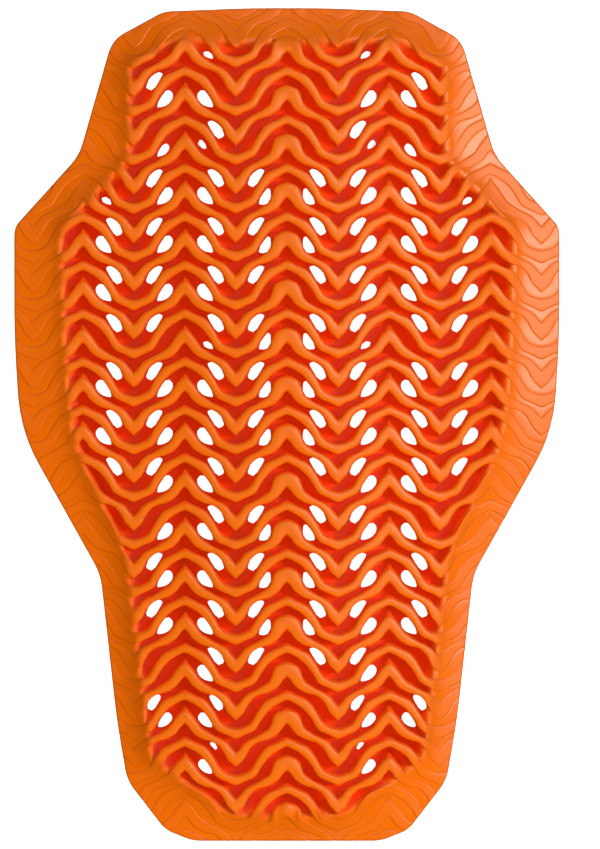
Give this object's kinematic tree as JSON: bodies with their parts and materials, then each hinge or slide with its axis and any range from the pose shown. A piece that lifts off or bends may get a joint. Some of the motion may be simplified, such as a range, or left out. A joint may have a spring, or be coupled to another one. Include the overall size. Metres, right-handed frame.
{
  "type": "back protector",
  "caption": "Soft moulded back pad, long and wide at the shoulders, with a thin tapered border, zigzag ribs and air holes between them, worn under a sports jacket.",
  "frame": {"origin": "middle of the outline's box, on the surface that the rim rests on", "axes": "+Z out of the ribbed outer face, away from the wearer; +Y along the pad to the neck end; +X to the right, seen from outside"},
  "size_m": [0.275, 0.42, 0.022],
  "materials": {
    "pad": "satin moulded elastomer"
  },
  "bodies": {
    "root": {"pad": "pad"}
  },
  "joints": []
}
